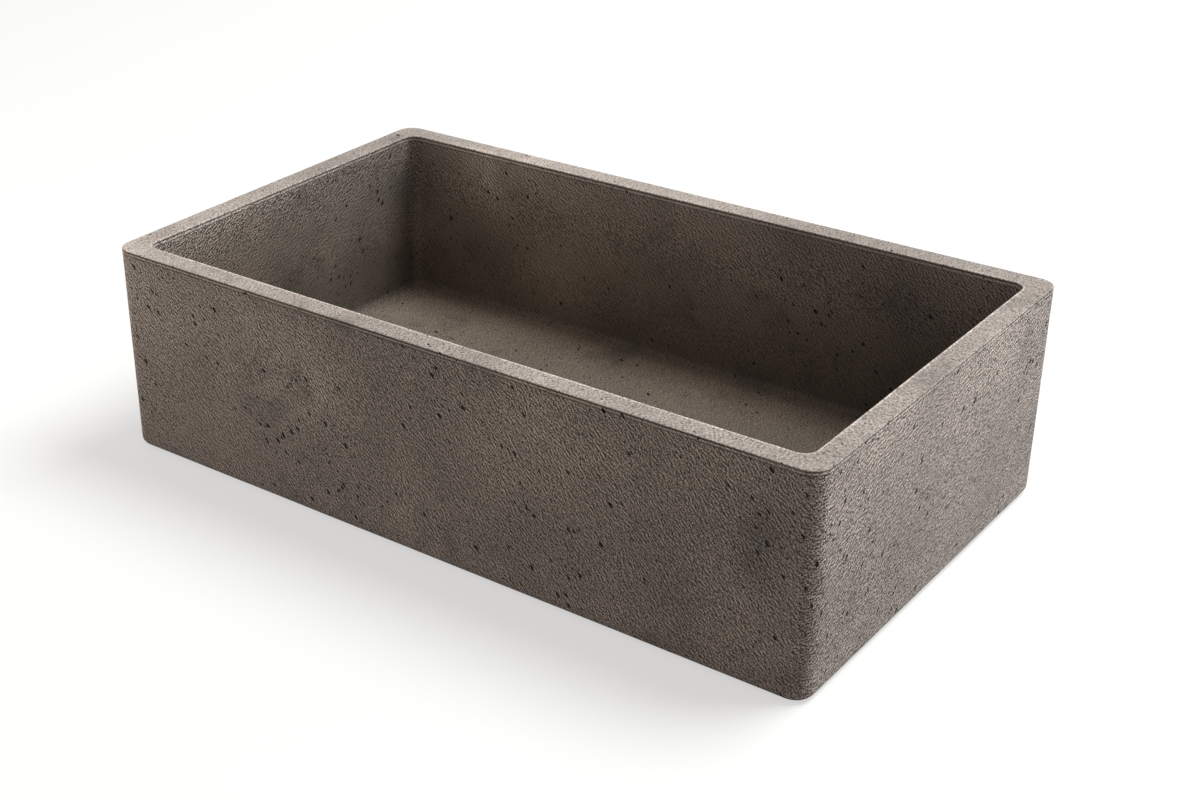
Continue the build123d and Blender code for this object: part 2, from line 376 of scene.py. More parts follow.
def finish(tree, shader, colour, roughness, bump, **others):
    """Gives a shader its colour, roughness, bump (strength, distance and height) and other inputs."""
    strength, distance, height = bump
    normal = add(tree, "ShaderNodeBump", Strength=strength, Distance=distance, Height=height).outputs[0]
    set_inputs(shader, {"Base Color": colour, "Roughness": roughness, "Normal": normal, **others})


def attribute(tree, name):
    """A named attribute of the mesh, as a number."""
    return add(tree, "ShaderNodeAttribute", {"attribute_name": name}).outputs["Fac"]


def streak_space(tree, along, length, width, aside=Vector()):
    """Object coordinates, moved aside, in units of a streak's length along it and its width across."""
    turn = Vector((1, 0, 0)).rotation_difference(along).to_euler()
    made = add(tree, "ShaderNodeMapping", {"vector_type": "TEXTURE"}, Vector=object_place(tree))
    set_inputs(made, {"Rotation": turn, "Location": aside, "Scale": (length, width, width)})
    return made.outputs[0]


def brush_marks(tree, along, facing):
    """Fine brushed streaks about 0: a noise less its mean at both sides, which takes out wide patches."""
    aside = along.cross(facing).normalized() * GRAIN_GAP
    noises = []
    for side in (-1, 0, 1):
        place = streak_space(tree, along, GRAIN_RUN, GRAIN_WIDTH, aside * side)
        noises.append(clouds(tree, place, 1.0, 1.0, 0.75))
    mean = times(tree, maths(tree, "ADD", noises[0], noises[2]), 0.5)
    return maths(tree, "SUBTRACT", noises[1], mean)


def concrete(slot):
    """Hand-cast concrete: brushed grain, soft patches, pores and pits painted dark as shade, zones painted
    lighter or darker as light and shade, a rim painted lighter (partly wear, partly painted light) and
    painted highlights along the edges.
    """
    material, tree, shader = new_material(slot)
    here = object_place(tree)
    long_side = brush_marks(tree, LONG_SIDE_BRUSHED, LONG_SIDE_FACING)
    end = brush_marks(tree, END_BRUSHED, END_FACING)
    towards_end = times(tree, attribute(tree, "end"), maths(tree, "SUBTRACT", end, long_side))
    grain = maths(tree, "ADD", long_side, towards_end)
    sand = clouds(tree, here, 680.0, 0.0)
    middling = placed(tree, MOTTLING, Patch=0.045, Strength=0.06, Offset=(3.0, 1.0, 2.0))["Tone"]
    stained = between(tree, clouds(tree, here, 13.0, 4.0, 0.6), 0.54, 0.72, 1.0, 0.7)
    # pores: dots painted dark as the shade of tiny holes, and sunk by the bump
    pore_space = streak_space(tree, PULLED_ALONG, 0.0095, 0.0052)
    pores = placed(tree, SPECKS, Vector=pore_space, Cell=1.0, Largest=0.26, Empty=0.5)["Mask"]
    calmer = attribute(tree, "grain")

    streaks = between(tree, grain, -0.3, 0.3, -1.3, 1.3)
    roughened = maths(tree, "ADD", streaks, between(tree, sand, 0.3, 0.7, -0.75, 0.75))
    grained = maths(tree, "MAXIMUM", maths(tree, "MULTIPLY_ADD", roughened, calmer, 1.0), DARKEST_GRAIN)
    # the zone attribute holds random tone and the zones' painted light and shade
    tone = times(tree, middling, stained, attribute(tree, "zone"), grained)
    # pores, pits and mould lines painted dark as shade, the edges given a painted highlight
    masks = [(pores, PORE_SHADE_GAIN)] + [(attribute(tree, name), gain) for name, gain in MARK_SHADE_AND_LIGHT_GAINS]
    for mask, gain in masks:
        tone = times(tree, tone, maths(tree, "MULTIPLY_ADD", mask, gain, 1.0))

    base = finish_of(slot)
    # the colour in the bowl is a warmer, darker copy of the outside's: painted shade
    outside, inside = (tuple(c * s for c, s in zip(base, tint)) for tint in (DRY_TINT, BOWL_SHADE_TINT))
    colour = toned(tree, mixed(tree, attribute(tree, "hollow"), outside, inside), tone)
    rough = between(tree, grain, -0.3, 0.3, 0.72, 0.86)
    relief = times(tree, maths(tree, "MULTIPLY_ADD", sand, 0.35, grain), calmer)
    relief = maths(tree, "MULTIPLY_ADD", pores, -0.9, relief)
    finish(tree, shader, colour, rough, (0.8, 0.0003, relief), Specular_IOR_Level=0.35)
    return material


def metal(slot, roughness, spread, pitch, depth, clouding):
    """Turned or spun metal: rings about the axis, dulled in soft patches."""
    material, tree, shader = new_material(slot)
    marks = placed(tree, TURNING, Pitch=pitch, Strength=spread)
    cloud = placed(tree, MOTTLING, Patch=0.02, Strength=clouding)["Tone"]
    tone = times(tree, marks["Tone"], cloud)
    dulled = maths(tree, "DIVIDE", roughness, times(tree, tone, cloud), use_clamp=True)
    colour = toned(tree, finish_of(slot), tone)
    finish(tree, shader, colour, dulled, (0.3, depth, marks["Height"]), Metallic=1.0)
    return material


def moulded(slot, roughness, grain_size, grain_depth):
    """Moulded rubber, foam or plastic: a fine skin grain and faint patches."""
    material, tree, shader = new_material(slot)
    grain = clouds(tree, object_place(tree), 1 / grain_size, 3.0)
    cloud = placed(tree, MOTTLING, Patch=0.012, Strength=0.08)["Tone"]
    tone = times(tree, cloud, maths(tree, "MULTIPLY_ADD", grain, 0.3, 0.85))
    rough = between(tree, grain, 0.3, 0.7, roughness - 0.08, roughness + 0.08)
    finish(tree, shader, toned(tree, finish_of(slot), tone), rough, (0.4, grain_depth, grain))
    return material


def fibre_board(slot):
    """Pressed fibre: short threads and pale flecks."""
    material, tree, shader = new_material(slot)
    here = object_place(tree)
    long_way = add(tree, "ShaderNodeMapping", Vector=here, Scale=(300.0, 1800.0, 1800.0)).outputs[0]
    threads = clouds(tree, long_way, 1.0, 3.0)
    flecks = placed(tree, SPECKS, Vector=here, Cell=0.0018, Largest=0.3, Empty=0.6)["Mask"]
    cloud = placed(tree, MOTTLING, Patch=0.015, Strength=0.12)["Tone"]
    tone = times(tree, cloud, maths(tree, "MULTIPLY_ADD", threads, 0.5, 0.75))
    tone = times(tree, tone, maths(tree, "MULTIPLY_ADD", flecks, 0.4, 1.0))
    finish(tree, shader, toned(tree, finish_of(slot), tone), 0.85, (0.5, 0.0001, threads))
    return material


# each slot's finish: for metal, roughness, contrast, pitch and depth of the rings, and clouding,
# and for moulded pieces, roughness, grain size and grain depth
FINISHES = (
    (concrete, "concrete"),
    (metal, "stainless", 0.27, 0.35, 0.00028, 0.00003, 0.06),
    (metal, "brass", 0.33, 0.3, 0.0004, 0.00004, 0.16),
    (metal, "chrome", 0.08, 0.05, 0.0006, 0.00001, 0.03),
    (moulded, "rubber", 0.62, 0.0006, 0.00005),
    (moulded, "foam_rubber", 0.8, 0.0009, 0.0002),
    (fibre_board, "fibre_board"),
    (moulded, "nylon", 0.42, 0.0008, 0.00003),
)
MATERIALS = {slot: make(slot, *values) for make, slot, *values in FINISHES}


# meshes: the angle from which an edge is sharp, the angle up to which faces are one, and one place's width
SHARP = math.radians(35)
FLAT = math.radians(2)
SAME_PLACE = 1e-6


def full_turn(count):
    """Angles in equal steps once round, from 0."""
    return np.linspace(0, 2 * math.pi, count, endpoint=False)

def joined_rows(rows, closed_ends=False):
    """Faces between rows of equal length, each a closed loop, the last joined to the first or not."""
    count, around = len(rows), len(rows[0])
    pairs = range(count) if closed_ends else range(count - 1)
    column = np.arange(around)
    following = (column + 1) % around
    faces = []
    for row in pairs:
        here, there = row * around, (row + 1) % count * around
        faces.append(np.column_stack([here + column, here + following, there + following, there + column]))
    return np.concatenate(faces)


def put(name, data):
    """A new object that holds a mesh, a lamp or a camera, in the scene."""
    made = bpy.data.objects.new(name, data)
    bpy.context.scene.collection.objects.link(made)
    return made


def smooth(mesh):
    """Shades a mesh smooth up to a sharp angle."""
    mesh.shade_smooth()
    mesh.set_sharp_from_angle(angle=SHARP)


def mesh_piece(name, points, faces, material):
    """A smooth mesh object at the origin."""
    mesh = bpy.data.meshes.new(name)
    mesh.from_pydata(np.asarray(points).tolist(), [], [list(map(int, face)) for face in faces])
    mesh.materials.append(material)
    smooth(mesh)
    return put(name, mesh)


def apply_modifiers(piece):
    """Turns what a piece's modifiers make into its own plain mesh."""
    view = bpy.context.evaluated_depsgraph_get()
    made = bpy.data.meshes.new_from_object(piece.evaluated_get(view))
    piece.modifiers.clear()
    piece.data = made
    smooth(made)
    return piece


def belongs(piece, node, body):
    """A piece stands for a solid, whose own part it hides, and rides with its body."""
    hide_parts(node)
    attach(piece, body)
    return piece


# basin


def plan_loop():
    """For each point round the basin's plan: its side's place and the angle that its side faces."""
    turn = np.linspace(0, math.pi / 2, CORNER_STEPS, endpoint=False)
    parts = []
    for quarter in range(4):
        sign = 1.0 if quarter < 2 else -1.0
        start = quarter * math.pi / 2
        side = (sign, np.linspace(-1, 1, SHORT_STEPS, endpoint=False) * sign)
        corner = (sign, sign)
        if quarter % 2:
            side = (np.linspace(1, -1, LONG_STEPS, endpoint=False) * sign, sign)
            corner = (-sign, sign)
        parts += [np.broadcast_arrays(*side, start), np.broadcast_arrays(*corner, start + turn)]
    return np.concatenate(parts, axis=1)


ACROSS, ALONG, FACING = plan_loop()


def outline(inset, corner):
    """The basin's plan outline, drawn in by an inset, with rounded corners."""
    x = ACROSS * (HALF_LENGTH - inset - corner) + corner * np.cos(FACING)
    y = ALONG * (HALF_DEPTH - inset - corner) + corner * np.sin(FACING)
    return np.column_stack([x, y])


def circle(radius):
    """A circle about the drain's axis, its points on the same rays as the floor's outline."""
    floor_edge = outline(WALL + BOWL_DRAFT + COVE, BOWL_CORNER - BOWL_DRAFT - COVE)
    return floor_edge / np.linalg.norm(floor_edge, axis=1, keepdims=True) * radius


def level(plan, height):
    """A plan loop lifted to a height, or to a height for each of its points."""
    return np.column_stack([plan, np.broadcast_to(height, len(plan))])


def blended(first, second, share):
    """The loop at a share of the way between two loops."""
    return first * (1 - share) + second * share


def floor_height(plan):
    """The floor's falls: four shallow planes that meet in soft valleys and end at the drain."""
    inset = WALL + BOWL_DRAFT + COVE
    side = np.abs(plan)
    run = np.array([HALF_LENGTH - inset - DRAIN_HOLE, HALF_DEPTH - inset - DRAIN_HOLE])
    share = (side - DRAIN_HOLE) / run
    softness = FALL_BLEND
    top = softness * np.log(np.exp(share / softness).sum(axis=1))
    return FLOOR_HIGH - FLOOR_FALL + FLOOR_FALL * np.clip(top, 0, 1)


def line_levels(lines):
    """The levels at and beside each mould line, from the top down, with the line's depth at each."""
    beside = ((-LINE_HALF, 0), (-LINE_FLAT, 1), (LINE_FLAT, 1), (LINE_HALF, 0))
    return [(RIM - drop - aside, depth * share) for drop, depth in lines for aside, share in beside]


def wall_levels():
    """The apron's levels from the foot's round to the rim's edge, with the mould lines' depth at each."""
    lines = line_levels(APRON_LINES)[::-1]
    plain_top = lines[0][0] - LINE_HALF
    return [(z, 0.0) for z in FOOT_ROUND + (plain_top - FOOT_ROUND) * steps(17)] + lines


def bowl_levels():
    """The bowl's levels from the rim's edge down to the cove, with the mould lines' depth at each."""
    lines = line_levels(BOWL_LINES)
    plain_top = lines[-1][0] - LINE_HALF
    wall_end = FLOOR_HIGH + COVE
    return lines + [(z, 0.0) for z in plain_top + (wall_end - plain_top) * np.array([0, *steps(15)])]


def outer_profile():
    """Inset, corner radius, level and mould line depth from the foot's edge up to the rim and across it."""
    points = []
    for turn in steps(5) * math.pi / 2:
        inset = FOOT_ROUND * (1 - math.sin(turn))
        points.append((inset, OUTER_CORNER - inset, FOOT_ROUND * (1 - math.cos(turn)), 0.0))
    points += [(0.0, OUTER_CORNER, z, depth) for z, depth in wall_levels()]
    points.append((0.0, OUTER_CORNER, RIM - OUTER_ARRIS, 0.0))
    for turn in steps(3) * math.pi / 2:
        inset = OUTER_ARRIS * (1 - math.cos(turn))
        points.append((inset, OUTER_CORNER - inset, RIM - OUTER_ARRIS * (1 - math.sin(turn)), 0.0))
    return points


def inner_profile():
    """The same from the rim's flat, over its inner edge and down the bowl's wall to the foot of the cove."""
    points = []
    flat_start, flat_end = OUTER_ARRIS, WALL - BOWL_ARRIS
    corner_start, corner_end = OUTER_CORNER - OUTER_ARRIS, BOWL_CORNER + BOWL_ARRIS
    band_start = 1 - EDGE_BAND / (flat_end - flat_start)
    for share in (*(band_start * steps(6)), (1 + band_start) / 2, 1.0):
        inset = blended(flat_start, flat_end, share)
        points.append((inset, blended(corner_start, corner_end, share), RIM, 0.0))
    for turn in steps(4) * math.pi / 2:
        inset = flat_end + BOWL_ARRIS * math.sin(turn)
        points.append((inset, BOWL_CORNER + WALL - inset, RIM - BOWL_ARRIS * (1 - math.cos(turn)), 0.0))
    wall_top, wall_end = RIM - BOWL_ARRIS, FLOOR_HIGH + COVE
    for height, depth in bowl_levels():
        drawn_in = BOWL_DRAFT * (wall_top - height) / (wall_top - wall_end)
        points.append((WALL + drawn_in, BOWL_CORNER - drawn_in, height, -depth))
    for turn in steps(6) * math.pi / 2:
        drawn_in = BOWL_DRAFT + COVE * (1 - math.cos(turn))
        points.append((WALL + drawn_in, BOWL_CORNER - drawn_in, wall_end - COVE * math.sin(turn), 0.0))
    return points


def line_strength(place):
    """How clearly the mould lines show at a place: they fade and break along their length."""
    here = Vector((place.x, place.y, place.z * 12)) / LINE_BREAKS
    return min(1.0, max(0.45, 0.9 + 0.9 * noise.noise(here)))


def basin_rows():
    """Every loop of the casting, from the recess's edge round the outside, the bowl and the drain hole."""
    foot = outline(FOOT_ROUND, OUTER_CORNER - FOOT_ROUND)
    rows = [level(blended(circle(RECESS), foot, share), 0.0) for share in (0, *steps(4))]
    outward = np.column_stack([np.cos(FACING), np.sin(FACING)])
    for inset, corner, height, line_depth in outer_profile() + inner_profile():
        plan = outline(inset, corner)
        if line_depth:
            strength = np.array([line_strength(Vector((x, y, height))) for x, y in plan])
            plan = plan - outward * (line_depth * strength)[:, None]
        rows.append(level(plan, height))
    floor_edge = rows[-1][:, :2]
    for share in steps(11):
        plan = blended(floor_edge, circle(REBATE + DRAIN_EDGE), share)
        rows.append(level(plan, floor_height(plan)))
    lip = floor_height(circle(REBATE))
    rows.append(level(circle(REBATE), lip - DRAIN_EDGE))
    rows += [level(circle(REBATE), blended(lip - DRAIN_EDGE, REBATE_FLOOR, share)) for share in steps(2)]
    rows += [level(circle(radius), REBATE_FLOOR) for radius in blended(REBATE, DRAIN_HOLE, steps(3))]
    rows += [level(circle(DRAIN_HOLE), height) for height in blended(REBATE_FLOOR, RECESS_DEPTH, steps(4))]
    rows += [level(circle(radius), RECESS_DEPTH) for radius in blended(DRAIN_HOLE, RECESS, steps(3))]
    rows += [level(circle(RECESS), height) for height in blended(RECESS_DEPTH, 0, steps(3))[:-1]]
    return rows


def drawn_in_by_waves(piece):
    """Draws a hand-cast surface in by smooth waves, so that nothing stands proud of its solid."""
    mesh = piece.data
    for vertex, normal in zip(mesh.vertices, [n.vector.copy() for n in mesh.vertex_normals]):
        place = vertex.co.copy()
        if math.hypot(place.x, place.y) < PIT_FREE_RADIUS:
            continue
        depth = sum(size * (0.5 + 0.5 * noise.noise(place / wave)) for wave, size in WAVES)
        vertex.co = place - normal * depth
    return piece


def pit_chance(piece):
    """How likely a pit is at each point: patchy outside, rarer in the bowl, none round the drain."""
    chance = []
    for vertex in piece.data.vertices:
        place = vertex.co
        patches = (strength * noise.noise(place / size) for size, strength in PIT_PATCHES)
        likely = min(1.0, max(PIT_LEAST_CHANCE, sum(patches, PIT_MIDDLE_CHANCE)))
        if place.z > RIM - OUTER_ARRIS / 2:
            likely *= RIM_CHANCE
        elif abs(place.x) > HALF_LENGTH - OUTER_ARRIS:
            likely = min(1.0, END_CHANCE * (likely + END_CHANCE_MORE))
        elif max(abs(place.x) - HALF_LENGTH, abs(place.y) - HALF_DEPTH) < -WALL / 2:
            likely *= BOWL_CHANCE if place.z > REBATE_FLOOR else UNDERSIDE_CHANCE
        clear_of_drain = math.hypot(place.x, place.y) > PIT_FREE_RADIUS
        chance.append(likely if clear_of_drain else 0.0)
    piece.data.attributes.new("pit_chance", "FLOAT", "POINT").data.foreach_set("value", chance)


def pit_balls(tree, points, turn, size, is_large, large):
    """Balls on the points of large or of small pits, the large ones rounder."""
    ball = add(tree, "GeometryNodeMeshIcoSphere", Radius=0.5, Subdivisions=2 if large else 1).outputs["Mesh"]
    chosen = is_large if large else maths(tree, "SUBTRACT", 1.0, is_large)
    balls = add(tree, "GeometryNodeInstanceOnPoints", Points=points, Instance=ball, Selection=chosen)
    set_inputs(balls, {"Rotation": turn, "Scale": size})
    return balls.outputs[0]


def cut_and_dressed(tree, given, result, tools):
    """Cuts tools out of a tree's geometry and hands on what is left in its material."""
    cut = add(tree, "GeometryNodeMeshBoolean", {"operation": "DIFFERENCE", "solver": "MANIFOLD"})
    set_inputs(cut, {"Mesh 1": given["Geometry"], "Mesh 2": tools})
    dressed = add(tree, "GeometryNodeSetMaterial", Geometry=cut.outputs["Mesh"], Material=given["Material"])
    connect(result["Geometry"], dressed.outputs[0])
    return tree


def cutting_group(name, inputs):
    """An empty Geometry Nodes group that takes a piece and its material besides its own inputs."""
    inputs = {"Geometry": "Geometry", **inputs, "Material": "Material"}
    return group(name, "GeometryNodeTree", inputs, "Geometry")


def pits_tree():
    """Air pits: balls stretched along the mould's pull, cut out of the surface that they lie on."""
    tree, given, result = cutting_group("air pits", {**PIT_INPUTS, "Direction": tuple(PULLED_ALONG)})
    chance = add(tree, "GeometryNodeInputNamedAttribute", {"data_type": "FLOAT"}, Name="pit_chance")
    spread = add(tree, "GeometryNodeDistributePointsOnFaces", {"distribute_method": "POISSON"})
    set_inputs(spread, {"Mesh": given["Geometry"], "Distance Min": given["Spacing"], "Seed": given["Seed"]})
    set_inputs(spread, {"Density Max": given["Pits per area"], "Density Factor": chance.outputs[0]})
    luck = add(tree, "FunctionNodeRandomValue", {"data_type": "FLOAT"}, Seed=given["Seed"]).outputs["Value"]
    rare = maths(tree, "POWER", luck, PIT_RARITY)
    reach = maths(tree, "SUBTRACT", given["Largest"], given["Smallest"])
    length = maths(tree, "MULTIPLY_ADD", rare, reach, given["Smallest"])
    other_seed = maths(tree, "ADD", given["Seed"], PIT_SEED_STEP)
    slim = add(tree, "FunctionNodeRandomValue", {"data_type": "FLOAT"}, Seed=other_seed)
    slim.inputs[2].default_value, slim.inputs[3].default_value = PIT_SLIM
    width = times(tree, length, slim.outputs["Value"])
    size = add(tree, "ShaderNodeCombineXYZ", X=length, Y=width, Z=width).outputs[0]
    turn = add(tree, "FunctionNodeAxesToRotation", {"primary_axis": "Z", "secondary_axis": "X"})
    connect(turn.inputs[0], spread.outputs["Normal"])
    connect(turn.inputs[1], given["Direction"])
    is_large = maths(tree, "GREATER_THAN", length, given["Round from"])
    both = add(tree, "GeometryNodeJoinGeometry")
    for large in (False, True):
        balls = pit_balls(tree, spread.outputs["Points"], turn.outputs[0], size, is_large, large)
        connect(both.inputs[0], balls)
    loose = add(tree, "GeometryNodeRealizeInstances", Geometry=both.outputs[0]).outputs[0]
    # the pits' faces are marked so that the material paints them dark as shade
    marked = add(tree, "GeometryNodeStoreNamedAttribute", {"domain": "FACE"}, Geometry=loose, Name="pit")
    set_inputs(marked, {"Value": 1.0})
    lumps = add(tree, "ShaderNodeTexNoise", Scale=PIT_LUMPS, Detail=1.0).outputs["Color"]
    centred = maths(tree, "SUBTRACT", lumps, (0.5, 0.5, 0.5), kind="ShaderNodeVectorMath")
    small = toned(tree, centred, PIT_RAGGED)
    ragged = add(tree, "GeometryNodeSetPosition", Geometry=marked.outputs[0], Offset=small)
    return cut_and_dressed(tree, given, result, ragged.outputs[0])


def run_tree(piece, tree, material, inputs):
    """Runs a Geometry Nodes tree on a piece, with its named inputs, and keeps the plain mesh."""
    modifier = piece.modifiers.new(tree.name, "NODES")
    modifier.node_group = tree
    sockets = {s.name: s.identifier for s in tree.interface.items_tree if s.in_out == "INPUT"}
    for name, value in {**inputs, "Material": material}.items():
        modifier[sockets[name]] = value
    return apply_modifiers(piece)


def edge_distance(places, inset, corner):
    """Each point's distance inside a plan outline of the basin, negative outside it."""
    side = np.abs(places[:, :2]) - (np.array([HALF_LENGTH, HALF_DEPTH]) - inset - corner)
    outside = np.linalg.norm(np.maximum(side, 0), axis=1)
    return corner - outside - np.minimum(side.max(axis=1), 0)


def ramp(values, start, end):
    """How far each value has come from a start to an end, held at 0 and 1 past them."""
    return np.clip((values - start) / (end - start), 0, 1)


def patch_tone(place):
    """How light the casting is at a place: soft patches of a few sizes."""
    return 1.0 + sum(strength * noise.noise(place / size + offset) for size, strength, offset in PATCHES)


def line_shade_marks(places, drop, outside):
    """How dark each point is painted for lying in a mould line, as painted shade in its groove. The upper
    line's shade reaches further up.
    """
    dark = np.zeros(len(places))
    for lines, side in ((APRON_LINES, outside), (BOWL_LINES, ~outside)):
        for line, depth in lines:
            wider = np.where((line == lines[0][0]) & (drop < line), SHADE_ABOVE, 1.0)
            dark += side * ramp(np.abs(drop - line), LINE_HALF * wider, LINE_FLAT) * depth / lines[0][1]
    near = np.flatnonzero(dark > 0.02)
    dark[near] *= [line_strength(Vector(places[index])) for index in near]
    return dark


def strip_marks(drop, outside):
    """Which points lie between the two mould lines of their side."""
    strip = np.zeros(len(drop))
    reach = LINE_HALF * 0.99
    for (upper, lower), side in ((APRON_LINES, outside), (BOWL_LINES, ~outside)):
        strip += side * (drop > upper[0] + reach) * (drop < lower[0] - reach)
    return strip


def smudge_and_shading_tone(places):
    """How light each point is for the spots placed one by one: partly real smudges, partly painted light and
    shade.
    """
    tone = np.ones(len(places))
    for *place, size, strength in SMUDGES_AND_SHADING:
        away = np.linalg.norm(places - np.array(place), axis=1) / size
        tone *= 1.0 + strength * np.exp(-(away**2))
    return tone


def zone_light_and_shade(places, drop, outside, on_floor, hollow):
    """How light each point is painted for its zone (outside, rim, bowl wall or floor): painted light and
    shade.
    """
    x, y, z = places.T
    on_end_wall = ramp(np.abs(x), HALF_LENGTH - WALL - ZONE_BLEND, HALF_LENGTH - WALL)
    to_back = ramp(y, FLOOR_DARK_TO, FLOOR_PALE_FROM)
    to_back = to_back**2 * (3 - 2 * to_back)
    walls = blended(BOWL_LOW_TONE, BOWL_HIGH_TONE, ramp(z, FLOOR_HIGH, RIM))
    walls = walls * blended(1.0, BOWL_END_TONE, on_end_wall)
    bowl = blended(walls, blended(FLOOR_TONE, FLOOR_BACK_TONE, to_back), on_floor)
    bowl = bowl * blended(BOWL_LEFT_TONE, BOWL_RIGHT_TONE, ramp(x, BOWL_LEFT_TO, BOWL_RIGHT_FROM))
    on_end = (np.abs(x) > HALF_LENGTH - OUTER_CORNER / 3) * outside
    up_end = blended(END_FOOT_TONE, END_TOP_TONE, ramp(z, END_FOOT_TO, END_TOP_FROM))
    rim_end = np.where(outside, OUTER_ARRIS / 3, BOWL_ARRIS)
    rim = ramp(drop, rim_end + RIM_FADE, rim_end)
    return blended(blended(blended(1.0, up_end, on_end), RIM_TONE, rim), bowl, hollow)


def mark_surface(piece):
    """Stores what the material reads at each point: painted edge highlights, the mould lines' painted shade,
    bowl, brushing, grain, and tone with painted light and shade.
    """
    mesh = piece.data
    places = np.empty(len(mesh.vertices) * 3)
    mesh.vertices.foreach_get("co", places)
    places = places.reshape(-1, 3)
    x, y, z = places.T
    drop = RIM - z
    outer = edge_distance(places, 0, OUTER_CORNER)
    inner = edge_distance(places, WALL, BOWL_CORNER)
    outside, on_apron = outer < WALL / 2, outer < APRON_REACH

    under_lines = BOWL_LINES[-1][0] - LINE_HALF
    hollow = ramp(inner, -HOLLOW_BLEND / 2, HOLLOW_BLEND) * (z > HOLLOW_ABOVE)
    hollow = hollow * ramp(drop, under_lines, under_lines + HOLLOW_BLEND)
    on_floor = ramp(inner, COVE_MIDDLE, COVE_MIDDLE + ZONE_BLEND)

    band_start = -BOWL_ARRIS - EDGE_BAND
    inner_band = ramp(inner, band_start, band_start + EDGE_BAND / 2)
    inner_band = inner_band * ramp(drop, BAND_DROP, BAND_DROP - RIM_FADE)
    towards_eye = x / HALF_LENGTH - y / HALF_DEPTH
    near_side = blended(FAR_EDGE_HIGHLIGHT, 1.0, ramp(towards_eye, 0, NEAR_FROM))

    end_nearer_by = (HALF_DEPTH - np.abs(y)) - (HALF_LENGTH - np.abs(x))
    by_end = ramp(end_nearer_by, -BRUSH_BLEND / 2, BRUSH_BLEND / 2)
    lowest_line = np.where(outside, APRON_LINES[-1][0], BOWL_LINES[-1][0])
    grain = blended(1.0 + END_GRAIN * by_end, BOWL_GRAIN, hollow)
    grain = grain * np.where(drop < lowest_line + LINE_HALF, LINE_GRAIN, 1.0)

    patchy = np.array([patch_tone(Vector(place)) for place in places])
    marks = {
        "end": by_end * (1.0 - on_floor),
        # painted highlight along the rim's inner edge, stronger on the near side, and on the strip between
        # mould lines
        "edge_highlight": inner_band * near_side + STRIP_HIGHLIGHT * strip_marks(drop, on_apron),
        # the mould lines painted dark as shade
        "line": line_shade_marks(places, drop, on_apron),
        "hollow": hollow,
        "grain": np.where(drop < OUTER_ARRIS / 2, RIM_GRAIN, grain),
        # random patches, spots that are partly smudges and partly painted light and shade, and each zone's
        # painted light and shade
        "zone": patchy * smudge_and_shading_tone(places) * zone_light_and_shade(places, drop, outside, on_floor, hollow),
    }
    for name, values in marks.items():
        mesh.attributes.new(name, "FLOAT", "POINT").data.foreach_set("value", values)


def make_basin():
    """The casting, its waves, its air pits and the marks that its material reads."""
    rows = basin_rows()
    piece = mesh_piece("basin_casting", np.concatenate(rows), joined_rows(rows, True), MATERIALS["concrete"])
    drawn_in_by_waves(piece)
    pit_chance(piece)
    run_tree(piece, pits_tree(), MATERIALS["concrete"], PIT_INPUTS)
    mark_surface(piece)
    print("basin triangles", sum(len(p.vertices) - 2 for p in piece.data.polygons))
    return belongs(piece, "basin", "sink")


# strainer, outlet and basket

SLOT_OF = {row["node"]: row["material_slot"] for row in frame["record"]["subparts"]}
BODY_OF = {node: body for body, nodes in frame["record"]["behaviour"]["bodies"].items() for node in nodes}
FULL_TURN = full_turn(144)
ARC_STEPS = 5
ROWS_PER_PITCH = 6

# radii from the drain's axis
CUP = 0.0428
CUP_SHEET = 0.0012
CUP_FOOT_ROUND = 0.005
MOUTH_BEVEL = 0.003
OUTLET_HOLE = 0.0195
SPUD_SOCKET = 0.0213
SPUD_BORE = 0.0185
TUBE = 0.01905
TUBE_SHEET = 0.0012
TUBE_FLANGE = 0.0016
NUT_THREAD = 0.02395
NUT_LIP_BORE = 0.01975
NUT_FLATS = 0.056
NUT_CHAMFER = 0.0026
NUT_CHAMFER_IN = 0.0008
BASKET_WALL = 0.037
BASKET_SHEET = 0.0008
BUSH = 0.007
BUSH_GAP = 0.00015
HUB = BUSH + BUSH_GAP
BUSH_BORE = 0.00405
BUSH_NUT_FLATS = 0.019
BUSH_NUT_CHAMFER = 0.0007
STOPPER_TOP = 0.025
POST = 0.004
POST_SHOULDER = 0.007
POST_SHOULDER_THICKNESS = 0.002
SEAL_GROOVE = 0.0011
SEAL_GROOVE_WIDTH = 0.0017
KNOB_NECK = 0.007
KNOB_NECK_HEIGHT = 0.004
FLUTE = 0.0025
FLUTES = 6

# basket slots
SLOT_INPUTS = {
    "Count": 18,
    "Wall radius": BASKET_WALL,
    "Slot width": 0.0026,
    "Slot height": 0.028,
    "Punch length": 0.004,
}
SLOT_RISE = 0.006

# threads: pitch and depth
CUP_THREAD = (0.0021, 0.00055)
SPUD_THREAD = (0.0022, 0.0009)
BUSH_THREAD = (0.001, 0.0004)


def span(node):
    """A solid's outer radius, its lowest level and its highest level."""
    low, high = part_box(node)
    return high.x, low.z, high.z


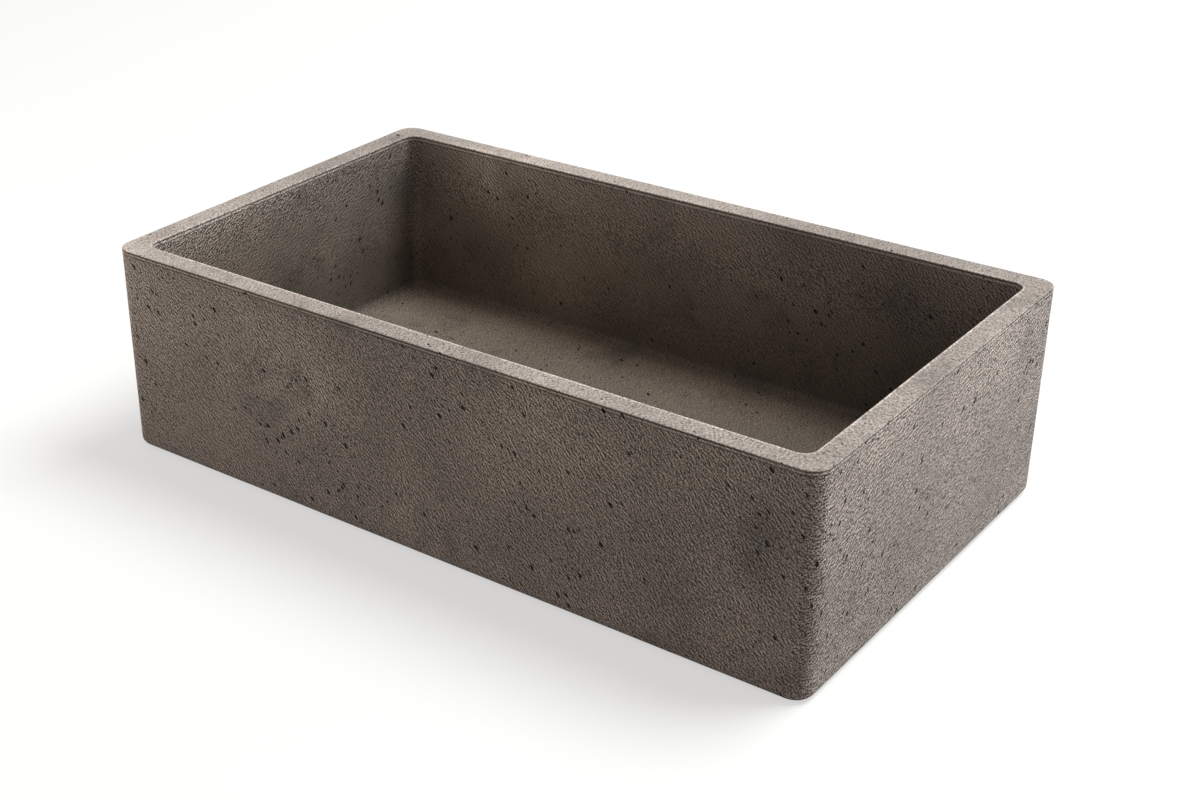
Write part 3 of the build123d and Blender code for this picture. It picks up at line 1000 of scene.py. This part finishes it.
def rounded(corners):
    """The points of an outline, each of whose corners is a radius, a level and the radius of its arc."""
    points = []
    for index, (radius, height, rounding) in enumerate(corners):
        here = np.array([radius, height])
        if not rounding:
            points.append(here)
            continue
        before = np.array(corners[index - 1][:2]) - here
        after = np.array(corners[(index + 1) % len(corners)][:2]) - here
        before, after = before / np.linalg.norm(before), after / np.linalg.norm(after)
        half = math.acos(before @ after) / 2
        middle = before + after
        centre = here + middle / np.linalg.norm(middle) * rounding / math.sin(half)
        start = here + before * rounding / math.tan(half) - centre
        end = here + after * rounding / math.tan(half) - centre
        first = math.atan2(start[1], start[0])
        sweep = (math.atan2(end[1], end[0]) - first + math.pi) % (2 * math.pi) - math.pi
        turn = first + sweep * np.linspace(0, 1, ARC_STEPS)
        points.extend(centre + rounding * np.column_stack([np.cos(turn), np.sin(turn)]))
    return np.array(points)


def thread(radius, low, high, pitch, depth):
    """A thread up a side: outline points close enough together to hold it, and the shape that cuts it."""
    count = round((high - low) / pitch * ROWS_PER_PITCH)
    rows = [(radius, height, 0) for height in np.linspace(low, high, count + 1)]

    def shape(radii, levels, angles):
        run_out = np.clip(np.minimum(levels - low, high - levels) / pitch, 0, 1)
        groove = 1 - np.abs((levels / pitch - angles / (2 * math.pi)) % 1 * 2 - 1)
        return radii - depth * groove * run_out * (np.abs(radii - radius) < depth / 100)

    return rows, shape


def hexagonal(flats, first_corner):
    """A shape that cuts a turned outline back to a hexagon's flats."""

    def shape(radii, levels, angles):
        from_flat = (angles - first_corner) % (math.pi / 3) - math.pi / 6
        return np.minimum(radii, flats / 2 / np.cos(from_flat))

    return shape


def fluted(radius, flute, count):
    """A shape that cuts upright round flutes into a head."""
    middle = radius + flute / 2

    def shape(radii, levels, angles):
        step = 2 * math.pi / count
        aside = (angles + step / 2) % step - step / 2
        reach = np.maximum(flute**2 - (middle * np.sin(aside)) ** 2, 0)
        cut = middle * np.cos(aside) - np.sqrt(reach)
        return np.where((reach > 0) & (radii > cut), cut, radii)

    return shape


def turned(name, corners, node, shape=None, along=None):
    """A piece turned about the drain's axis, or about another line, which stands for a solid."""
    outline_points = rounded(corners)
    radii, levels = outline_points[:, :1], outline_points[:, 1:]
    radii, levels, angles = np.broadcast_arrays(radii, levels, FULL_TURN[None, :])
    if shape:
        radii = shape(radii, levels, angles)
    points = np.stack([radii * np.cos(angles), radii * np.sin(angles), levels], axis=2)
    hollow = outline_points[:, 0].min() > 0
    flat_points = points.reshape(-1, 3)
    if along is not None:
        flat_points = np.array([along @ Vector(place) for place in flat_points])
    piece = mesh_piece(name, flat_points, joined_rows(points, hollow), MATERIALS[SLOT_OF[node]])
    if not hollow:
        close_poles(piece)
    return belongs(piece, node, BODY_OF[node])


def close_poles(piece):
    """Merges the points of each ring that has shrunk to one place on the axis."""
    work = bmesh.new()
    work.from_mesh(piece.data)
    bmesh.ops.remove_doubles(work, verts=work.verts, dist=SAME_PLACE)
    work.to_mesh(piece.data)
    work.free()


def washer(name, node, bore, rounding):
    """A flat ring with softened edges."""
    radius, low, high = span(node)
    edges = ((bore, low), (radius, low), (radius, high), (bore, high))
    return turned(name, [(*edge, rounding) for edge in edges], node)


def make_cup():
    """The pressed cup: a slightly crowned flange, a bevelled mouth, a threaded wall and a rounded foot."""
    radius, low, high = span("strainer_body")
    inside, under = CUP - CUP_SHEET, high - CUP_SHEET
    rows, cut = thread(CUP, low + 2 * CUP_FOOT_ROUND, under - 3 * MOUTH_BEVEL, *CUP_THREAD)
    corners = [
        (OUTLET_HOLE, low, 0.0003),
        (CUP, low, CUP_FOOT_ROUND),
        *rows,
        (CUP, under - MOUTH_BEVEL, 0.001),
        (CUP + MOUTH_BEVEL, under, 0.001),
        (radius, under, 0.0002),
        (radius, high - CUP_SHEET / 2, 0.0004),
        (radius - 0.004, high - 0.0001, 0.004),
        (CUP + MOUTH_BEVEL / 2, high, 0.0016),
        (inside, high - MOUTH_BEVEL * 1.1, 0.0022),
        (inside, low + CUP_SHEET, CUP_FOOT_ROUND - CUP_SHEET),
        (OUTLET_HOLE, low + CUP_SHEET, 0.0003),
    ]
    return turned("strainer_cup", corners, "strainer_body", cut)


def make_spud():
    """The threaded outlet: a socket for the bridge, a ledge under it and a plain bore."""
    radius, low, high = span("outlet_spud")
    ledge = span("lock_bridge")[1]
    rows, cut = thread(radius, low + 0.0008, high - 0.004, *SPUD_THREAD)
    corners = [(SPUD_BORE, low, 0.0004), (radius, low, 0.0008), *rows, (radius, high, 0.0002)]
    corners += [(SPUD_SOCKET, high, 0.0002), (SPUD_SOCKET, ledge, 0.0002), (SPUD_BORE, ledge, 0.0003)]
    return turned("outlet_thread", corners, "outlet_spud", cut)


def make_coupling_nut():
    """The hexagonal slip nut with chamfered ends and a lip under the tailpiece's flange."""
    radius, low, high = span("coupling_nut")
    corner, face = radius * 0.985, NUT_FLATS / 2 - NUT_CHAMFER_IN
    seat = span("tailpiece")[2] - TUBE_FLANGE
    corners = [(NUT_LIP_BORE, low, 0.0004), (face, low, 0.0003)]
    corners += [(corner, low + NUT_CHAMFER, 0.0006), (corner, high - NUT_CHAMFER, 0.0006)]
    corners.append((face, high, 0.0003))
    corners += [(NUT_THREAD + NUT_CHAMFER_IN, high, 0.0002), (NUT_THREAD, high - NUT_CHAMFER_IN, 0.0002)]
    corners += [(NUT_THREAD, seat, 0.0002), (NUT_LIP_BORE, seat, 0.0002)]
    return turned("slip_nut", corners, "coupling_nut", hexagonal(NUT_FLATS, 0))


def make_tailpiece():
    """The plain tube, its turned-out flange and its cleaned end."""
    radius, low, high = span("tailpiece")
    bore, seat = TUBE - TUBE_SHEET, high - TUBE_FLANGE
    corners = [(bore, low, 0.0004), (TUBE, low, 0.0005), (TUBE, seat, 0.0006)]
    corners += [(radius, seat, 0.0004), (radius, high, 0.0006), (bore, high, 0.0012)]
    return turned("tail_tube", corners, "tailpiece")


def slots_tree():
    """Upright slots punched through the wall of a basket, evenly spaced about the drain's axis."""
    tree, given, result = cutting_group("basket slots", {**SLOT_INPUTS, "Middle level": 0.0})
    slot = add(tree, "GeometryNodeCurvePrimitiveQuadrilateral")
    set_inputs(slot, {"Width": given["Slot width"], "Height": given["Slot height"]})
    ends = add(tree, "GeometryNodeFilletCurve", {"mode": "POLY"}, Curve=slot.outputs[0], Count=4)
    set_inputs(ends, {"Radius": times(tree, given["Slot width"], 0.49)})
    half = times(tree, given["Punch length"], 0.5)
    inner = add(tree, "ShaderNodeCombineXYZ", X=times(tree, half, -1.0)).outputs[0]
    outer = add(tree, "ShaderNodeCombineXYZ", X=half).outputs[0]
    stroke = add(tree, "GeometryNodeCurvePrimitiveLine", Start=inner, End=outer)
    punch = add(tree, "GeometryNodeCurveToMesh", Curve=stroke.outputs[0], Profile_Curve=ends.outputs[0])
    set_inputs(punch, {"Fill Caps": True})
    ring = add(tree, "GeometryNodeMeshCircle", Vertices=given["Count"], Radius=given["Wall radius"])
    lift = add(tree, "ShaderNodeCombineXYZ", Z=given["Middle level"]).outputs[0]
    lifted = add(tree, "GeometryNodeSetPosition", Geometry=ring.outputs[0], Offset=lift)
    step = maths(tree, "DIVIDE", 2 * math.pi, given["Count"])
    index = add(tree, "GeometryNodeInputIndex").outputs[0]
    turn = add(tree, "ShaderNodeCombineXYZ", Z=times(tree, index, step)).outputs[0]
    punches = add(tree, "GeometryNodeInstanceOnPoints", Points=lifted.outputs[0], Instance=punch.outputs[0])
    set_inputs(punches, {"Rotation": turn})
    solid_punches = add(tree, "GeometryNodeRealizeInstances", Geometry=punches.outputs[0]).outputs[0]
    return cut_and_dressed(tree, given, result, solid_punches)


def make_basket():
    """The straining cup: a turned-out lip, a slotted wall and a flat floor."""
    radius, low, high = span("basket")
    inside, under = BASKET_WALL - BASKET_SHEET, high - BASKET_SHEET
    corners = [(HUB, low, 0), (BASKET_WALL, low, 0.003), (BASKET_WALL, under, 0.0012)]
    corners += [(radius, under, 0.0002), (radius, high, 0.0004), (inside, high, 0.002)]
    corners += [(inside, low + BASKET_SHEET, 0.0022), (HUB, low + BASKET_SHEET, 0)]
    basket = turned("straining_basket", corners, "basket")
    middle = low + BASKET_SHEET + SLOT_RISE + SLOT_INPUTS["Slot height"] / 2
    return run_tree(basket, slots_tree(), MATERIALS["stainless"], {**SLOT_INPUTS, "Middle level": middle})


def make_stopper():
    """The rubber disc, with its edge drawn in towards the basket."""
    radius, low, high = span("stopper")
    corners = [(HUB, low, 0), (radius, low, 0.0008), (STOPPER_TOP, high, 0.0006), (HUB, high, 0)]
    return turned("rubber_stopper", corners, "stopper")


def make_bush():
    """The sleeve through basket and stopper, threaded at its foot."""
    radius, low, high = span("post_bush")
    flange_under = span("basket")[1] + BASKET_SHEET
    rows, cut = thread(BUSH, low + 0.0004, span("bush_nut")[2], *BUSH_THREAD)
    corners = [(BUSH_BORE, low, 0.0003), (BUSH, low, 0.0004), *rows, (BUSH, flange_under, 0)]
    corners += [(radius, flange_under, 0.0002), (radius, high, 0.0006), (BUSH_BORE, high, 0.0003)]
    return turned("basket_bush", corners, "post_bush", cut)


def make_bush_nut():
    """The small hexagonal nut with chamfered ends."""
    radius, low, high = span("bush_nut")
    corner, face, soft = radius * 0.99, BUSH_NUT_FLATS / 2, 0.0002
    ends = [(HUB, low), (face, low), (corner, low + BUSH_NUT_CHAMFER)]
    ends += [(corner, high - BUSH_NUT_CHAMFER), (face, high), (HUB, high)]
    return turned("basket_nut", [(*end, soft) for end in ends], "bush_nut", hexagonal(BUSH_NUT_FLATS, 0))


def make_post():
    """The turned post: a shoulder on the bush, a groove for its seal and a rounded foot."""
    _, low, high = span("lock_post")
    bush_low, bush_high = span("post_bush")[1:]
    middle, half = (bush_low + bush_high) / 2, SEAL_GROOVE_WIDTH / 2
    groove, soft = POST - SEAL_GROOVE, 0.0001
    shoulder_top = bush_high + POST_SHOULDER_THICKNESS
    corners = [(0, low, 0), (POST, low, 0.001), (POST, middle - half, soft), (groove, middle - half, soft)]
    corners += [(groove, middle + half, soft), (POST, middle + half, soft), (POST, bush_high, soft)]
    corners += [(POST_SHOULDER, bush_high, 0.0002), (POST_SHOULDER, shoulder_top, 0.0005)]
    corners += [(POST, shoulder_top, 0.0005), (POST, high, 0), (0, high, 0)]
    return turned("turned_post", corners, "lock_post")


def make_knob():
    """The turned knob: a neck under a fluted head with a crowned top."""
    radius, low, high = span("lock_knob")
    head_low = low + KNOB_NECK_HEIGHT
    radius = max(radius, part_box("lock_knob")[1].y)
    corners = [(0, low, 0), (KNOB_NECK, low, 0.0004), (KNOB_NECK, head_low, 0.0012)]
    corners += [(radius, head_low, 0.0008), (radius, high - 0.0004, 0.0016)]
    corners += [(0.3 * radius, high, 0.004), (0, high, 0)]
    return turned("twist_knob", corners, "lock_knob", fluted(radius, FLUTE, FLUTES))


def make_cross_pin():
    """The round bar across the post's foot, with rounded ends."""
    low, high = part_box("lock_bar")
    radius, half = (high.z - low.z) / 2, high.y
    corners = [(0, -half, 0), (radius, -half, 0.0006), (radius, half, 0.0006), (0, half, 0)]
    laid = Matrix.Translation((0, 0, (low.z + high.z) / 2)) @ Matrix.Rotation(-math.pi / 2, 4, "X")
    return turned("cross_pin", corners, "lock_bar", along=laid)


def softened(node, name, width):
    """A solid's own shape with its edges slightly rounded."""
    mesh = frame["nodes"][node].data.copy()
    work = bmesh.new()
    work.from_mesh(mesh)
    bmesh.ops.remove_doubles(work, verts=work.verts, dist=SAME_PLACE)
    bmesh.ops.dissolve_limit(work, angle_limit=FLAT, verts=work.verts, edges=work.edges)
    work.to_mesh(mesh)
    work.free()
    mesh.materials.clear()
    mesh.materials.append(MATERIALS[SLOT_OF[node]])
    piece = put(name, mesh)
    edges = piece.modifiers.new("edges", "BEVEL")
    edges.width = width
    edges.segments = 2
    edges.limit_method = "ANGLE"
    edges.angle_limit = SHARP
    apply_modifiers(piece)
    return belongs(piece, node, BODY_OF[node])


make_basin()
make_cup()
make_spud()
softened("lock_bridge", "slotted_bridge", 0.0004)
washer("foam_seal", "flange_seal", span("flange_seal")[0] - 0.008, 0.0008)
washer("floor_gasket", "rubber_gasket", CUP + 0.0003, 0.0007)
washer("slip_ring", "friction_ring", CUP + 0.0003, 0.0002)
softened("locknut", "lugged_locknut", 0.0006)
washer("joint_washer", "tailpiece_washer", TUBE - TUBE_SHEET, 0.0004)
make_coupling_nut()
make_tailpiece()
make_basket()
make_stopper()
washer("clamp_washer", "stopper_washer", HUB, 0.0003)
make_bush()
make_bush_nut()
make_post()
make_knob()
make_cross_pin()
washer("sealing_ring", "post_seal", POST - SEAL_GROOVE + 0.00003, 0.0005)


# room, light and camera

FLOOR_DROP = 0.0006
FLOOR_HOLE = 0.09
FLOOR_REACH = 30.0
FLOOR_SIDES = 96
FLOOR_GLOW = 0.56
FLOOR_COLOUR = (0.28, 0.25, 0.22)
FLOOR_SEEN = (0.3, 0.3, 0.3)
WHITE = (1.0, 1.0, 1.0)
FILL_LEVEL = 0.42
FILL_COLOUR = (1.1, 1.0, 0.9)

# lamps: name, way to it, distance, brightness on a white face, colour, width, and height if not round
LAMPS = (
    ("key", (0.28, 0.38, 0.88), 7.0, 1.39, (1.0, 1.045, 1.03), 4.0, None),
    ("side", (-1.3, -0.7, 0.2), 1.8, 0.17, FILL_COLOUR, 0.9, None),
    ("end", (1.0, 0.6, 0.06), 3.0, 0.52, (0.97, 1.0, 1.02), 1.2, 0.2),
)


def seen_by_eye(tree):
    """1 for rays from the camera, mirror rays and rays through glass, otherwise 0."""
    path = add(tree, "ShaderNodeLightPath").outputs
    shiny = maths(tree, "MAXIMUM", path["Is Glossy Ray"], path["Is Transmission Ray"])
    return maths(tree, "MAXIMUM", path["Is Camera Ray"], shiny)


def floor_material():
    """A pale matt floor that looks white and throws only a little light back up."""
    material, tree, shader = new_material("studio_floor")
    eye = seen_by_eye(tree)
    colour = mixed(tree, eye, FLOOR_COLOUR, FLOOR_SEEN)
    glow = {"Emission Color": (*WHITE, 1.0), "Emission Strength": times(tree, eye, FLOOR_GLOW)}
    set_inputs(shader, {"Base Color": colour, "Roughness": 1.0, "Specular IOR Level": 0.0, **glow})
    return material


def make_floor():
    """A wide floor with a hole under the drain's tube."""
    turn = full_turn(FLOOR_SIDES)
    ring = np.column_stack([np.cos(turn), np.sin(turn), np.zeros(FLOOR_SIDES)])
    drop = np.array([0, 0, -FLOOR_DROP])
    rows = [ring * FLOOR_REACH + drop, ring * FLOOR_HOLE + drop]
    mesh_piece("studio_floor", np.concatenate(rows), joined_rows(rows), floor_material())


def make_world():
    """White to the eye and a soft even light on the object."""
    world = bpy.data.worlds.new("studio")
    bpy.context.scene.world = world
    world.use_nodes = True
    tree = world.node_tree
    tree.nodes.clear()
    lit = tuple(FILL_LEVEL * c for c in FILL_COLOUR)
    colour = mixed(tree, seen_by_eye(tree), lit, WHITE)
    back = add(tree, "ShaderNodeBackground", Color=colour, Strength=1.0)
    add(tree, "ShaderNodeOutputWorld", Surface=back.outputs[0])


def make_lamp(name, way, distance, brightness, colour, size, height):
    """A soft lamp aimed at the basin, round or a strip."""
    direction = Vector(way).normalized()
    lamp = bpy.data.lights.new(name, "AREA")
    lamp.color = colour
    lamp.shape = "RECTANGLE" if height else "DISK"
    lamp.size = size
    lamp.size_y = height or size
    lamp.energy = brightness * math.pi**2 * distance**2
    holder = put(name, lamp)
    holder.location = Vector((0, 0, RIM / 2)) + direction * distance
    holder.rotation_euler = direction.to_track_quat("Z", "Y").to_euler()


CAMERA_AZIMUTH = math.radians(38.08)
CAMERA_ELEVATION = math.radians(27.67)
CAMERA_ROLL = math.radians(-0.90)
CAMERA_DISTANCE = 2.2192
CAMERA_ACROSS = -0.10651
CAMERA_UP = 0.04262
CAMERA_FOCUS_PX = 1883.2
FRAME_PX = 1200
CENTRE_X_PX = 600
CENTRE_Y_PX = 400
AXIS_X_PX = 480
AXIS_Y_PX = 429.2
SENSOR = 36.0


def make_camera():
    """The photograph's viewpoint, fitted to the outline of the basin."""
    az, el = CAMERA_AZIMUTH, CAMERA_ELEVATION
    back = Vector((math.sin(az) * math.cos(el), -math.cos(az) * math.cos(el), math.sin(el)))
    level_right = Vector((math.cos(az), math.sin(az), 0))
    level_up = back.cross(level_right)
    place = back * CAMERA_DISTANCE + level_right * CAMERA_ACROSS + level_up * CAMERA_UP
    turn = Matrix.Rotation(CAMERA_ROLL, 3, back)
    lens = bpy.data.cameras.new("camera")
    lens.sensor_width = SENSOR
    lens.lens = CAMERA_FOCUS_PX / FRAME_PX * SENSOR
    lens.shift_x = (CENTRE_X_PX - AXIS_X_PX) / FRAME_PX
    lens.shift_y = (AXIS_Y_PX - CENTRE_Y_PX) / FRAME_PX
    camera = put("camera", lens)
    facing = Matrix((turn @ level_right, turn @ level_up, back)).transposed()
    camera.matrix_world = Matrix.Translation(place) @ facing.to_4x4()
    bpy.context.scene.camera = camera


make_floor()
make_world()
for lamp_values in LAMPS:
    make_lamp(*lamp_values)
make_camera()
bpy.context.scene.view_settings.view_transform = "Standard"
